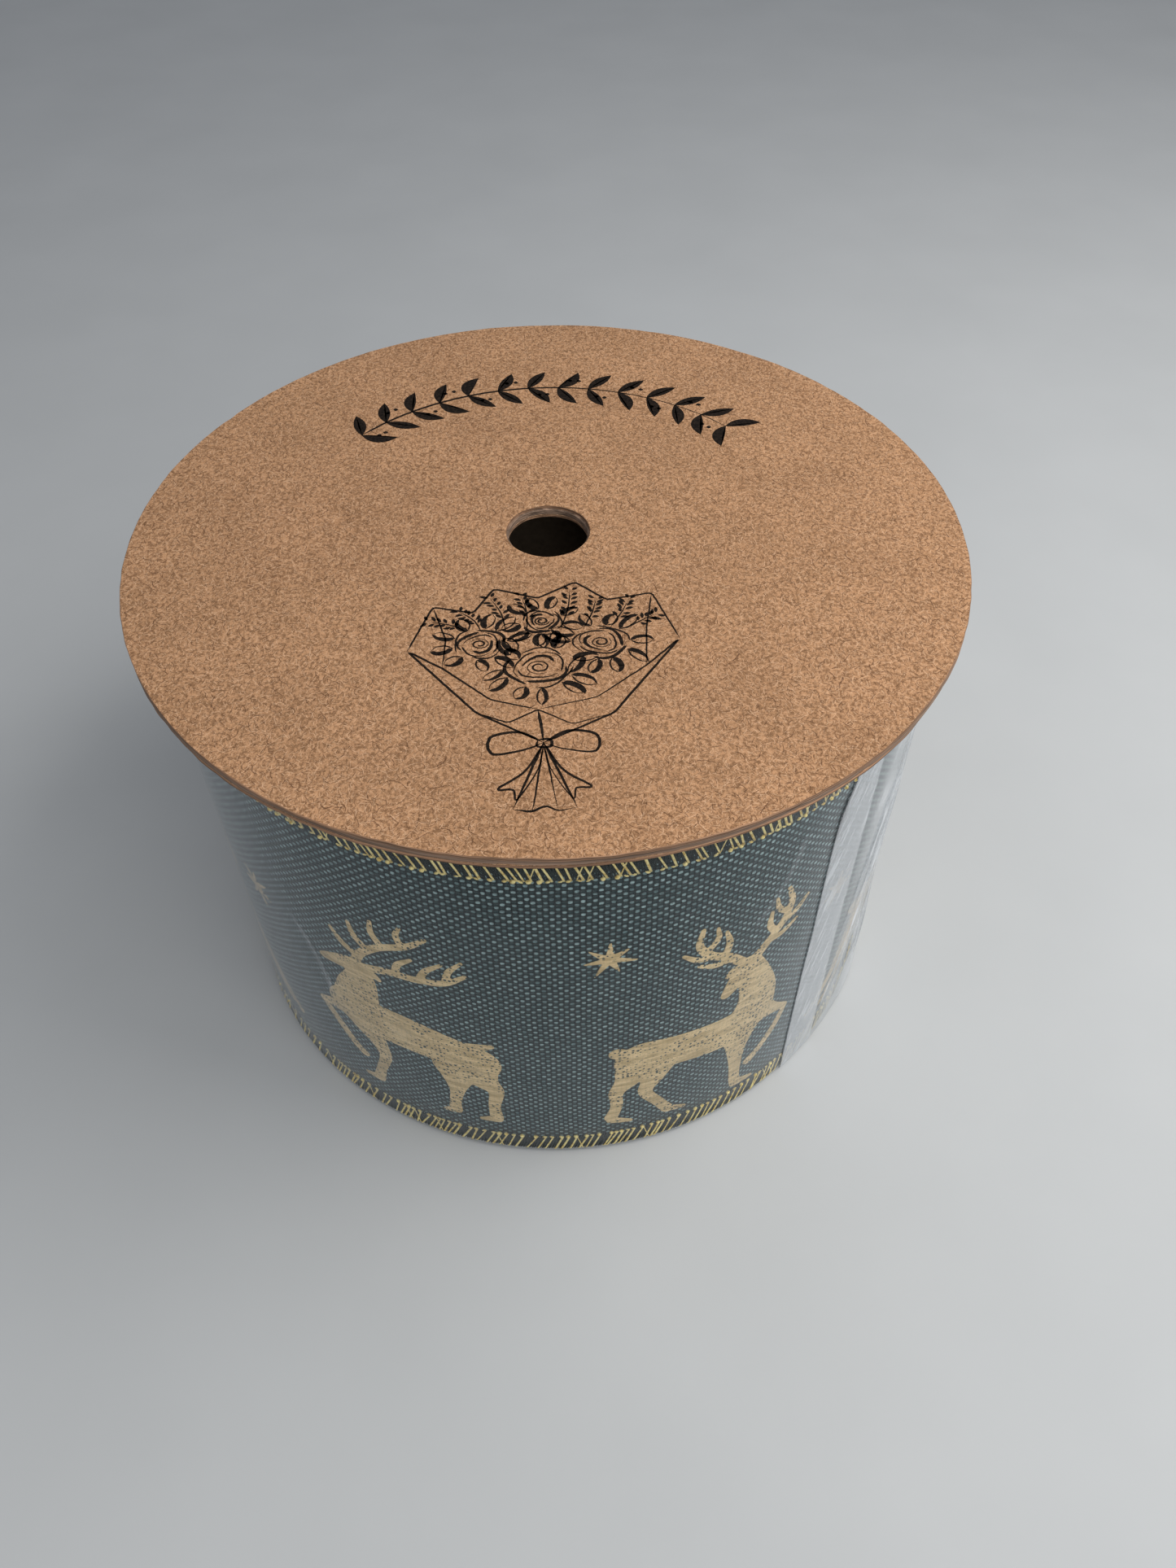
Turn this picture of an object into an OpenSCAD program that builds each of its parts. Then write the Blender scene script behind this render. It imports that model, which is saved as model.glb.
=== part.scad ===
// Ribbon spool: wired ribbon wound on a paper tube between a wide kraft disc and a thin base disc,
// with a clear film band round the roll. The base disc lies on z = 0 and the spool's axis is +Z.

/* [Discs] */
// Diameter of the top disc
disc_d = 97; // [93:0.5:110]
// Thickness of the printed kraft ply on top
cover_t = 0.45; // [0.3:0.05:0.8]
// Thickness of the grey board ply
board_t = 0.6; // [0.4:0.05:1.2]
// Thickness of the kraft liner ply underneath
liner_t = 0.4; // [0.2:0.05:0.8]
// Diameter of the base disc, hidden under the roll
base_d = 86; // [60:1:88]
// Thickness of the base disc
base_t = 0.5; // [0.4:0.1:1]
// Diameter of the rod hole through the discs
hole_d = 9.2; // [8:0.1:16]
// Extra hole diameter in the printed ply
hole_relief = 0.5; // [0:0.1:1]

/* [Core] */
// Outer diameter of the paper tube
core_d = 48.3; // [40:0.1:49]
// Wall thickness of the paper tube
core_wall = 1.5; // [1:0.1:2.5]
// Leg of the ring of dried glue in each end of the tube
glue_leg = 2.5; // [1:0.1:4]
// Gap between the roll and the tube
core_gap = 0.15; // [0.1:0.05:0.3]
// Gap between the roll and the base disc
base_gap = 0.1; // [0.1:0.1:0.5]
// Gap between the roll and the top disc, less the gap at the base
axial_play = 1.5; // [0.3:0.1:3]

/* [Ribbon] */
// Width of the ribbon, edge to edge
ribbon_w = 63.5; // [60:0.5:70]
// Thickness of the woven web
web_t = 0.4; // [0.3:0.05:0.5]
// Thickness of the overlocked edge
edge_t = 0.9; // [0.7:0.05:0.95]
// Height of the overlocked edge
edge_h = 3.2; // [2:0.1:4]
// Distance from one turn to the next
turn_pitch = 1; // [1:0.01:1.05]
// Number of half turns on the tube
half_turns = 42; // [10:1:42]
// Thickness of the wire in each edge
wire_d = 0.35; // [0.2:0.05:0.5]
// Direction of the ribbon's free end, from +X
tail_angle = 20; // [0:5:355]

/* [Film] */
// Thickness of the clear film band
film_t = 0.12; // [0.08:0.01:0.2]
// Height of the film band
film_h = 65; // [64:0.1:65]
// Gap between the film band and the roll
film_gap = 0.05; // [0.02:0.01:0.1]
// Height of the film band's lower edge above the table
film_z = 0.2; // [0:0.1:0.4]
// Width of the strip where the film laps over itself
lap_w = 7; // [4:0.5:12]
// Direction of the middle of that strip, from +X
lap_angle = -45.4; // [-180:0.1:180]

/* [Hidden] */
$fn = 120;
WIRE_SIDES = 6;
cut = 1;
ribbon_z = base_t + base_gap;
core_h = base_gap + ribbon_w + axial_play;
liner_z = base_t + core_h;
board_z = liner_z + liner_t;
cover_z = board_z + board_t;
half_pitch = turn_pitch / 2;
centre_shift = turn_pitch / 4;
first_r = core_d / 2 + core_gap + edge_t / 2 + centre_shift;
roll_r = first_r + (half_turns - 1) * half_pitch + centre_shift + edge_t / 2;
film_r = roll_r + film_gap;

// A flat disc with the rod hole through it
module punched_disc(d, t, hole) {
    difference() {
        cylinder(d = d, h = t);
        translate([0, 0, -cut]) cylinder(d = hole, h = t + 2 * cut);
    }
}

// A tube with its foot on z = 0
module tube(outer_r, wall, h) {
    difference() {
        cylinder(r = outer_r, h = h);
        translate([0, 0, -cut]) cylinder(r = outer_r - wall, h = h + 2 * cut);
    }
}

// Sweeps a profile, drawn about the strip's middle, along the wound ribbon. Half circles about two
// centres, half a pitch apart, meet end to end, so that the roll grows by one pitch a turn.
module wound() {
    rotate([0, 0, tail_angle])
        for (i = [0 : half_turns - 1])
            translate([(i % 2 == 0 ? -1 : 1) * centre_shift, 0, 0])
                rotate([0, 0, i % 2 == 0 ? 0 : 180])
                    rotate_extrude(angle = 180)
                        translate([first_r + i * half_pitch, 0])
                            children();
}

// The ribbon's overlocked edge, as one band
module edge_band(z) {
    color("gold")
        translate([0, 0, z])
            wound()
                translate([-edge_t / 2, 0])
                    square([edge_t, edge_h]);
}

// The wire inside an edge, with its middle at height z
module edge_wire(z) {
    color("silver")
        translate([0, 0, z])
            wound()
                circle(d = wire_d, $fn = WIRE_SIDES);
}

// Ring of dried glue in the corner between the tube's bore and a disc below it
module glue_ring() {
    bore_r = core_d / 2 - core_wall;
    color("wheat")
        rotate_extrude()
            polygon([[bore_r - glue_leg, 0], [bore_r, 0], [bore_r, glue_leg]]);
}

module top_cover_disc() {
    color("tan")
        translate([0, 0, cover_z])
            punched_disc(disc_d, cover_t, hole_d + hole_relief);
}

module top_board_disc() {
    color("gray")
        translate([0, 0, board_z])
            punched_disc(disc_d, board_t, hole_d);
}

module top_liner_disc() {
    color("peru")
        translate([0, 0, liner_z])
            punched_disc(disc_d, liner_t, hole_d);
}

module core_tube() {
    color("burlywood")
        translate([0, 0, base_t])
            tube(core_d / 2, core_wall, core_h);
}

module top_glue_ring() {
    translate([0, 0, liner_z])
        mirror([0, 0, 1])
            glue_ring();
}

module base_glue_ring() {
    translate([0, 0, base_t])
        glue_ring();
}

module base_disc() {
    color("tan")
        punched_disc(base_d, base_t, hole_d);
}

module ribbon_web() {
    color("darkslategray")
        translate([0, 0, ribbon_z + edge_h])
            wound()
                translate([-web_t / 2, 0])
                    square([web_t, ribbon_w - 2 * edge_h]);
}

module top_edge_stitching() {
    edge_band(ribbon_z + ribbon_w - edge_h);
}

module bottom_edge_stitching() {
    edge_band(ribbon_z);
}

module top_edge_wire() {
    edge_wire(ribbon_z + ribbon_w - edge_h / 2);
}

module bottom_edge_wire() {
    edge_wire(ribbon_z + edge_h / 2);
}

// The film is a tube, with a second thickness where its end laps over its start
module film_sleeve() {
    half_lap = lap_w / (2 * film_r) * 180 / PI;
    color("lightcyan", 0.3)
        translate([0, 0, film_z]) {
            tube(film_r + film_t, film_t, film_h);
            rotate([0, 0, lap_angle - half_lap])
                rotate_extrude(angle = 2 * half_lap)
                    translate([film_r + film_t / 2, 0])
                        square([film_t * 3 / 2, film_h]);
        }
}

top_cover_disc();
top_board_disc();
top_liner_disc();
core_tube();
top_glue_ring();
base_glue_ring();
base_disc();
ribbon_web();
top_edge_stitching();
bottom_edge_stitching();
top_edge_wire();
bottom_edge_wire();
film_sleeve();
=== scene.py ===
"""Ribbon spool: wired canvas ribbon wound on a paper tube under a kraft disc, in a clear film band.

Lengths are in millimetres and in the frame's own axes, and MM makes them metres for Blender. Angles
are measured round the spool's axis from +X, counter-clockwise from above, so the front is at -90
degrees.
"""

import math

import bpy
import numpy as np
from mathutils import Matrix, Vector


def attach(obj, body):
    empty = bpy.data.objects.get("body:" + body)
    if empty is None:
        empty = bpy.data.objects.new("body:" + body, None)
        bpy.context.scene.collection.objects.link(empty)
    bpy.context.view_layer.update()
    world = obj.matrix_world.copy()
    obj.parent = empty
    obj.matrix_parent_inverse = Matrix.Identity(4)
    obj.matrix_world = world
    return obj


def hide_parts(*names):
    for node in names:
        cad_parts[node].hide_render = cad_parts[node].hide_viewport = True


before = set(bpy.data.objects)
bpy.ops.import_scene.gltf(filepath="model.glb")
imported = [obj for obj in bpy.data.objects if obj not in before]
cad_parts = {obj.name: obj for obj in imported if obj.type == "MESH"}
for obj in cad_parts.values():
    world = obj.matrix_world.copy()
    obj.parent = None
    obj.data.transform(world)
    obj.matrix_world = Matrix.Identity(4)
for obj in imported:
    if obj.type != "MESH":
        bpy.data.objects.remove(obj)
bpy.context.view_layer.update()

MM = 0.001
TAU = math.tau
FRONT = math.radians(-90)


# ---------------------------------------------------------------- sizes, from the frame


def node_points(node):
    """A CAD node's points, in mm."""
    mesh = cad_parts[node].data
    return np.array([v.co for v in mesh.vertices]) / MM


def span(node):
    """A CAD node's lowest and highest z, and its least and greatest distance from the axis."""
    points = node_points(node)
    reach = np.hypot(points[:, 0], points[:, 1])
    return points[:, 2].min(), points[:, 2].max(), reach.min(), reach.max()


COVER_LOW, COVER_TOP, COVER_HOLE_R, DISC_R = span("top_cover_disc")
BOARD_LOW, BOARD_TOP, HOLE_R, _ = span("top_board_disc")
LINER_LOW, LINER_TOP, _, _ = span("top_liner_disc")
BASE_LOW, BASE_TOP, _, BASE_R = span("base_disc")
WEB_LOW, WEB_TOP, _, WEB_OUT_R = span("ribbon_web")
RIBBON_LOW, _, PACK_IN_R, PACK_R = span("bottom_edge_stitching")
_, RIBBON_TOP, _, _ = span("top_edge_stitching")
FILM_LOW, FILM_TOP, _, _ = span("film_sleeve")

TURNS = 21
WEB_T = 0.4
EDGE_T = 0.9
EDGE_H = WEB_LOW - RIBBON_LOW
WEB_H = WEB_TOP - WEB_LOW
START_R = PACK_IN_R + EDGE_T / 2
END_R = PACK_R - EDGE_T / 2
PITCH = (END_R - START_R) / TURNS

tail_point = max(node_points("ribbon_web"), key=lambda p: math.hypot(p[0], p[1]))
TAIL = math.atan2(tail_point[1], tail_point[0])


def turns_back(angle):
    """How many turns back from the ribbon's free end the outermost layer is at that angle, 0 to 1."""
    return np.mod(TAIL - angle, TAU) / TAU


def layer_r(back):
    """Distance from the axis to the middle of the strip, back turns before its free end."""
    return END_R - PITCH * back


def length_back(back):
    """Length of strip from its free end, in mm."""
    return TAU * (END_R * back - PITCH * back**2 / 2)


def web_end(side):
    """Height of the web's top edge where side is 1, and of its bottom edge where it is -1."""
    return WEB_TOP if side > 0 else WEB_LOW


def ring(radius, angle, z):
    """Points at those radii, angles and heights."""
    radius, angle, z = np.broadcast_arrays(radius, angle, z)
    return np.stack([radius * np.cos(angle), radius * np.sin(angle), z], axis=-1).astype(float)


def polar(reach, angle):
    """The (x, y) at that distance and angle from (0, 0)."""
    return np.array([reach * math.cos(angle), reach * math.sin(angle)])


def unit(vectors):
    """The same directions, each of length 1."""
    return vectors / np.maximum(np.linalg.norm(vectors, axis=-1, keepdims=True), 1e-9)


def share_along(x, y, start, end):
    """How far from start to end the nearest point of that line to (x, y) is, 0 to 1."""
    dx, dy = end[0] - start[0], end[1] - start[1]
    share = ((x - start[0]) * dx + (y - start[1]) * dy) / max(dx**2 + dy**2, 1e-9)
    return np.clip(share, 0, 1)


def waves(points, seed, size, count=9):
    """Smooth unevenness, mostly between -1 and 1, with lumps about size across."""
    rng = np.random.default_rng(seed)
    total = np.zeros(points.shape[:-1])
    for _ in range(count):
        direction = rng.normal(size=3)
        direction *= TAU / (size * rng.uniform(0.8, 1.7) * np.linalg.norm(direction))
        total += np.sin(points @ direction + rng.uniform(0, TAU))
    return total * 0.9 / math.sqrt(count)


def web_ripple(angle, z):
    """The web's slow outward and inward waver between its two wired edges."""
    middle = np.sin(np.clip((z - RIBBON_LOW) / (RIBBON_TOP - RIBBON_LOW), 0, 1) * math.pi)
    return 0.1 * middle * waves(ring(END_R, angle, z), seed=3, size=26)


def web_face_r(angle, z):
    """Distance from the axis to the outer face of the outermost layer of web."""
    return layer_r(turns_back(angle)) + WEB_T / 2 + web_ripple(angle, z)


OUTER_LENGTH = length_back(1.0)


# ---------------------------------------------------------------- meshes


class Parts:
    """Points and faces of one mesh, gathered piece by piece."""

    def __init__(self):
        self.points, self.faces, self.count = [], [], 0
        self.uv = []

    def add(self, points, faces, uv=None):
        points = np.asarray(points, float).reshape(-1, 3)
        self.points.append(points)
        self.uv.append(np.zeros((len(points), 2)) if uv is None else np.asarray(uv).reshape(-1, 2))
        self.faces += [[i + self.count for i in face] for face in faces]
        self.count += len(points)

    def sweep(self, sections, uv=None):
        """Joins sections, an array of (section, corner, xyz), into one closed solid."""
        n, m = sections.shape[:2]
        a = np.arange((n - 1) * m).reshape(n - 1, m)
        b = np.roll(a, -1, axis=1)
        quads = np.stack([a, b, b + m, a + m], axis=-1).reshape(-1, 4).tolist()
        caps = [list(range(m))[::-1], list(range((n - 1) * m, n * m))]
        self.add(sections, quads + caps, uv)


def to_scene(name, data):
    """A new object in the scene."""
    thing = bpy.data.objects.new(name, data)
    bpy.context.scene.collection.objects.link(thing)
    return thing


def add_mesh(name, parts, material, body, smooth=True):
    """Makes the gathered points and faces an object that rides on a body."""
    mesh = bpy.data.meshes.new(name)
    points = np.concatenate(parts.points) * MM
    mesh.from_pydata(points.tolist(), [], parts.faces)
    layer = mesh.uv_layers.new(name="flat")
    corner = np.zeros(len(mesh.loops), np.int32)
    mesh.loops.foreach_get("vertex_index", corner)
    layer.data.foreach_set("uv", np.concatenate(parts.uv)[corner].astype(np.float32).ravel())
    if smooth:
        mesh.polygons.foreach_set("use_smooth", np.ones(len(mesh.polygons), bool))
    mesh.materials.append(material)
    thing = to_scene(name, mesh)
    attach(thing, body)
    return thing


def tube_sections(path, radius, sides, outward, flat=1.0):
    """Round or oval sections along a path. outward is each point's way out of the roll."""
    path = np.asarray(path, float)
    along = unit(np.gradient(path, axis=0))
    side = unit(np.cross(along, outward))
    out = np.cross(side, along)
    turn = np.arange(sides) * TAU / sides + TAU / (2 * sides)
    radius = np.broadcast_to(radius, len(path))[:, None, None]
    return path[:, None] + radius * (
        np.cos(turn)[None, :, None] * side[:, None]
        + flat * np.sin(turn)[None, :, None] * out[:, None]
    )


def smooth_line(points, steps=6):
    """A Catmull-Rom curve through rows of numbers, with steps stretches between two rows."""
    p = np.asarray(points, float)
    if len(p) == 2:
        return p[0] + (p[1] - p[0]) * np.linspace(0, 1, steps + 1)[:, None]
    p = np.concatenate([[2 * p[0] - p[1]], p, [2 * p[-1] - p[-2]]])
    rows = []
    for a, b, c, d in zip(p, p[1:], p[2:], p[3:]):
        for t in np.arange(steps) / steps:
            rows.append(
                0.5 * (2 * b + (c - a) * t + (2 * a - 5 * b + 4 * c - d) * t**2
                       + (3 * b - a - 3 * c + d) * t**3)
            )
    return np.array(rows + [p[-2]])


def even_line(points, step):
    """The same line with its points about step apart."""
    reach = np.concatenate([[0], np.cumsum(np.linalg.norm(np.diff(points, axis=0), axis=1))])
    wanted = np.linspace(0, reach[-1], max(3, round(reach[-1] / step)))
    return np.stack([np.interp(wanted, reach, axis) for axis in points.T], axis=1)


# ---------------------------------------------------------------- shader nodes


class Value:
    """A value inside a material. One that is a plain number can be added, multiplied and so on."""

    def __init__(self, shader, socket):
        self.shader, self.socket = shader, socket

    def __add__(self, other):
        return self.shader.math("ADD", self, other)

    def __sub__(self, other):
        return self.shader.math("SUBTRACT", self, other)

    def __mul__(self, other):
        return self.shader.math("MULTIPLY", self, other)

    def __truediv__(self, other):
        return self.shader.math("DIVIDE", self, other)

    def __abs__(self):
        return self.shader.math("ABSOLUTE", self)


class Shader:
    """A procedural material, built up from a few kinds of node."""

    def __init__(self, name, **inputs):
        self.material = bpy.data.materials.new(name)
        self.material.use_nodes = True
        self.tree = self.material.node_tree
        self.tree.nodes.clear()
        self.principled = self.node("BsdfPrincipled", **inputs)
        self.output = self.node("OutputMaterial", Surface=self.principled.outputs[0])

    def node(self, kind, settings=None, **inputs):
        made = self.tree.nodes.new("ShaderNode" + kind)
        for key, value in (settings or {}).items():
            setattr(made, key, value)
        for key, value in inputs.items():
            self.put(made.inputs[key.replace("_", " ")], value)
        return made

    def put(self, socket, value):
        if isinstance(value, Value):
            value = value.socket
        if isinstance(value, bpy.types.NodeSocket):
            self.tree.links.new(value, socket)
        else:
            socket.default_value = value

    def set(self, key, value):
        self.put(self.principled.inputs[key], value)

    def value(self, kind, settings=None, output=0, **inputs):
        """One output of a new node."""
        return Value(self, self.node(kind, settings, **inputs).outputs[output])

    def split(self, kind, **inputs):
        """Each output of a new node."""
        return [Value(self, output) for output in self.node(kind, **inputs).outputs]

    def math(self, operation, a, b=0.0, clamp=False):
        made = self.node("Math", {"operation": operation, "use_clamp": clamp})
        self.put(made.inputs[0], a)
        self.put(made.inputs[1], b)
        return Value(self, made.outputs[0])

    def sine(self, angle):
        return self.math("SINE", angle)

    def vector(self, operation, a, b):
        """Vector arithmetic; b is a plain number for SCALE."""
        made = self.node("VectorMath", {"operation": operation})
        self.put(made.inputs[0], a)
        self.put(made.inputs["Scale" if operation == "SCALE" else 1], b)
        return Value(self, made.outputs[0])

    def step(self, value, low, high):
        """0 below low and 1 above high, and smooth between; the other way round where high is less."""
        start, end = (1.0, 0.0) if high < low else (0.0, 1.0)
        return self.value(
            "MapRange", {"interpolation_type": "SMOOTHSTEP"}, Value=value,
            From_Min=min(low, high), From_Max=max(low, high), To_Min=start, To_Max=end,
        )

    def mix(self, factor, a, b):
        """Colour a where factor is 0, and b where it is 1."""
        made = self.node("Mix", {"data_type": "RGBA"})
        for place, value in ((0, factor), (6, a), (7, b)):
            self.put(made.inputs[place], (*value, 1) if isinstance(value, tuple) else value)
        return Value(self, made.outputs[2])

    def millimetres(self, stretch=(1, 1, 1)):
        """Object coordinates in mm, stretched."""
        place = self.value("TexCoord", output="Object")
        return self.value("Mapping", Vector=place, Scale=[n / MM for n in stretch])

    def flat(self, stretch=(1, 1, 1), shift=(0, 0, 0), turn=0.0):
        """The piece's own flat coordinates in mm, from its UV map, turned, stretched and shifted."""
        place = self.value("UVMap", {"uv_map": "flat"})
        if turn:
            place = self.value("Mapping", Vector=place, Rotation=(0, 0, turn))
        return self.value("Mapping", Vector=place, Scale=stretch, Location=shift)

    def noise(self, vector, scale, detail=2.0, roughness=0.5):
        return self.value("TexNoise", Vector=vector, Scale=scale, Detail=detail, Roughness=roughness)

    def bump(self, height, distance_mm, strength):
        """Raises the surface by distance_mm for each unit of height."""
        self.set("Normal", self.value("Bump", Height=height, Distance=distance_mm * MM,
                                      Strength=strength))


def shade(colour, *factors):
    """The colour multiplied by one factor, or by one for each channel, and kept within 1."""
    return tuple(min(1, c * f) for c, f in zip(colour, factors * 3))


def fibres(s, place, seed, per_mm, half_length, half_width):
    """Short curved fibres on a flat face, one to each cell of a pattern; 0 between, up to 1."""
    moved = s.vector("ADD", place, (seed * 17.3, seed * 9.1, 0))
    cells = s.node("TexVoronoi", {"voronoi_dimensions": "2D"}, Vector=moved, Scale=per_mm)
    off_middle = s.vector("SUBTRACT", moved, cells.outputs["Position"])
    x, y, _ = s.split("SeparateXYZ", Vector=off_middle)
    turn, curl, weight = s.split("SeparateColor", Color=cells.outputs["Color"])
    turn = turn * TAU
    sine, cosine = s.sine(turn), s.math("COSINE", turn)
    along = x * cosine + y * sine
    off = y * cosine - x * sine
    off = abs(off - (curl - 0.5) * (along * along) * 2.2)
    line = s.step(off, half_width, half_width * 0.3)
    line = line * s.step(abs(along), half_length, half_length * 0.6)
    return line * s.step(weight, 0.0, 0.9)


# Fibres as (cells to the mm, half length, half width)
DARK_FIBRES = [(0.25, 1.0, 0.065), (0.5, 0.9, 0.06), (0.9, 0.55, 0.055), (1.5, 0.36, 0.05)]
PALE_FIBRES = [(0.6, 0.8, 0.06), (1.0, 0.5, 0.055), (1.6, 0.35, 0.05), (2.2, 0.25, 0.05)]


def kraft(name, colour=(0.386, 0.203, 0.1), seed=0.0):
    """Recycled kraft board: mottled, with a felt of dark and pale fibres."""
    s = Shader(name, Specular_IOR_Level=0.15)
    place = s.millimetres()
    cloud = s.noise(place, 0.1, detail=3.0)
    grain = s.noise(s.vector("MULTIPLY", place, (1.1, 0.8, 1)), 2.6, detail=4.0, roughness=0.85)
    dark = shade(colour, 0.5)
    tone = s.mix(s.step(grain, 0.39, 0.61), dark, shade(colour, 1.55, 1.65, 1.8))
    tone = s.mix(0.25, tone, colour)
    tone = s.mix(s.step(cloud, 0.35, 0.7) * 0.22, tone, dark)
    curl = s.value("TexNoise", output="Color", Vector=place, Scale=1.0, Detail=1.0)
    curled = s.vector("ADD", place, s.vector("SCALE", curl, 0.16))
    height = grain * 1.2
    for number, fibre in enumerate(PALE_FIBRES):
        line = fibres(s, curled, seed + number + 5, *fibre)
        tone = s.mix(line * 0.6, tone, shade(colour, 1.9, 2.3, 2.9))
        height = height + line * 0.4
    for number, fibre in enumerate(DARK_FIBRES):
        line = fibres(s, curled, seed + number + 1, *fibre)
        tone = s.mix(line * (0.75 if number else 0.9), tone, shade(colour, 0.24, 0.2, 0.2))
        height = height - line * 0.4
    s.set("Base Color", tone)
    s.set("Roughness", grain * 0.16 + 0.8)
    s.bump(height, 0.05, 0.5)
    return s.material


def ply_edge(name, colour, seed):
    """The cut edge of a board: its plies run round it as streaks."""
    s = Shader(name, Roughness=0.9)
    streaks = s.noise(s.flat((0.05, 5.5, 1), (seed, seed, 0)), 1.0, detail=3.0, roughness=0.7)
    torn = s.noise(s.flat((0.9, 4.0, 1), (0, seed, 0)), 1.0, detail=2.0)
    dark = shade(colour, 0.42)
    tone = s.mix(s.step(streaks, 0.36, 0.66), dark, shade(colour, 1.5))
    s.set("Base Color", s.mix(s.step(torn, 0.55, 0.75) * 0.4, tone, dark))
    s.bump(streaks + torn * 0.5, 0.12, 0.9)
    return s.material


# Threads' pitches: the web's warp and weft, and the edge's overlock
WARP_PITCH, WEFT_PITCH = 0.61, 0.56
STITCH = 0.34


def weave(s):
    """A plain weave from the flat mm: its height, 0 to 1; how far its warp is uppermost; and a
    random value for each crossing."""
    place = s.flat()
    wander = s.noise(place, 0.12, detail=1.0)
    uneven = s.noise(place, 0.8, detail=1.0)
    x, y, _ = s.split("SeparateXYZ", Vector=place)
    shift = wander * 0.5 + uneven * 0.36
    across = x / WARP_PITCH + shift
    up = y / WEFT_PITCH + shift
    cell = s.value("CombineXYZ", X=s.math("FLOOR", across), Y=s.math("FLOOR", up))
    chance = s.value("TexWhiteNoise", Vector=cell)
    crossing = s.sine(across * math.pi) * s.sine(up * math.pi)
    warp = s.step(crossing, 0.0, 0.45)
    height = s.math("POWER", abs(crossing), 0.7)
    return height * (warp * 0.45 + 0.55), warp, chance


def ribbon_cloth():
    """Slate green plain weave: dark weft with painted shade in its gaps, and paler warp, varied at
    each crossing, with a painted highlight on its crests.
    """
    s = Shader("ribbon_cloth", Roughness=0.5, Specular_IOR_Level=0.12)
    height, warp, chance = weave(s)
    slub = s.noise(s.flat((0.25, 1.1, 1)), 1.0, detail=3.0, roughness=0.7)
    hairs = s.noise(s.flat((2.2, 5.0, 1)), 1.0, detail=3.0, roughness=0.75)
    thread = s.mix(chance, (0.14, 0.225, 0.23), (0.4, 0.545, 0.55))
    # Painted shade: the colour goes nearly black where the weave is low, in the gaps between threads.
    tone = s.mix(s.step(height, 0.04, 0.45), (0.003, 0.008, 0.009), (0.016, 0.036, 0.038))
    # Painted highlight: the warp's raised crests take the pale thread colour, partly the warp's own
    # tone and partly painted sheen.
    lit = warp * s.step(height, 0.2, 0.8)
    tone = s.mix(lit * s.step(hairs, 0.2, 0.6), tone, thread)
    s.set("Base Color", s.mix(s.step(slub, 0.5, 0.8) * 0.3, tone, (0.09, 0.14, 0.14)))
    s.bump(height + hairs * 0.3, 0.13, 1.0)
    return s.material


def foil_print():
    """Pale gold ink that lies on the weave, with specks where it missed, and painted shade in the
    weave's hollows.
    """
    s = Shader("foil_print", Metallic=0.3, Specular_IOR_Level=0.3)
    height = weave(s)[0]
    specks = s.node("TexVoronoi", {"voronoi_dimensions": "2D"}, Vector=s.flat(), Scale=1.9)
    size = s.split("SeparateColor", Color=specks.outputs["Color"])[0]
    reach = Value(s, specks.outputs["Distance"]) - size * 0.4
    patchy = s.step(s.noise(s.flat(), 0.2, detail=2.0), 0.36, 0.54)
    hole = s.step(reach, 0.02, -0.06) * patchy
    blotch = s.noise(s.flat((0.35, 1.6, 1)), 0.7, detail=4.0, roughness=0.7)
    tone = s.mix(s.step(blotch, 0.32, 0.68), (0.52, 0.37, 0.165), (0.9, 0.7, 0.39))
    # Painted shade: the foil is darker in the hollows of the weave under it.
    tone = s.mix(s.step(height, 0.3, 0.0) * 0.18, tone, (0.2, 0.16, 0.1))
    s.set("Base Color", s.mix(hole, tone, (0.03, 0.05, 0.045)))
    s.set("Roughness", blotch * 0.25 + 0.42)
    s.bump(height * 0.6 + blotch * 1.5 - hole, 0.06, 0.7)
    return s.material


def two_tone(name, dark, light, noise, between=None, raised=None, stretch=(1, 1, 1), **inputs):
    """Two colours mixed by one noise, between two of its values if given. raised is bump's distance
    and strength, if the noise raises the surface too."""
    s = Shader(name, **inputs)
    lumps = s.noise(s.millimetres(stretch), **noise)
    s.set("Base Color", s.mix(s.step(lumps, *between) if between else lumps, dark, light))
    if raised:
        s.bump(lumps, *raised)
    return s.material


def dark_thread():
    """Overlock thread, nearly black green."""
    return two_tone("dark_thread", (0.002, 0.005, 0.004), (0.011, 0.022, 0.018), dict(scale=4.0),
                    (0.3, 0.7), (0.05, 0.7), Roughness=0.6, Specular_IOR_Level=0.1)


def edge_band():
    """The overlocked edge: dark thread with painted shade in the grooves between its ribs, crossed on
    the inner layers by slanting gold yarn.
    """
    s = Shader("edge_band", Roughness=0.6, Specular_IOR_Level=0.1)
    x, y, _ = s.split("SeparateXYZ", Vector=s.flat())
    slanted = x + y * 0.33
    loose = s.noise(s.flat(), 0.7) * 0.9
    bars = s.step(s.sine(slanted * (TAU / 1.3) + loose), 0.62, 0.8)
    bars = bars * s.step(x, -OUTER_LENGTH, -OUTER_LENGTH - 3)
    ribs = abs(s.sine(slanted * (math.pi / STITCH)))
    # Painted shade: the thread is lighter on its ridges and darker in the grooves between them,
    # following the bump.
    green = s.mix(ribs, (0.002, 0.004, 0.004), (0.014, 0.024, 0.02))
    s.set("Base Color", s.mix(bars, green, (0.62, 0.5, 0.24)))
    s.set("Metallic", bars * 0.7)
    s.bump(ribs + bars, 0.08, 0.8)
    return s.material


def gold_yarn():
    """Flat metallic yarn, bright and a little crumpled."""
    s = Shader("gold_yarn", Metallic=0.3)
    crumple = s.noise(s.millimetres(), 1.8, detail=3.0, roughness=0.7)
    s.set("Base Color", s.mix(s.step(crumple, 0.35, 0.6), (0.66, 0.46, 0.12), (1.0, 0.86, 0.4)))
    s.set("Roughness", crumple * 0.5 + 0.12)
    s.bump(crumple, 0.25, 1.0)
    return s.material


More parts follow.
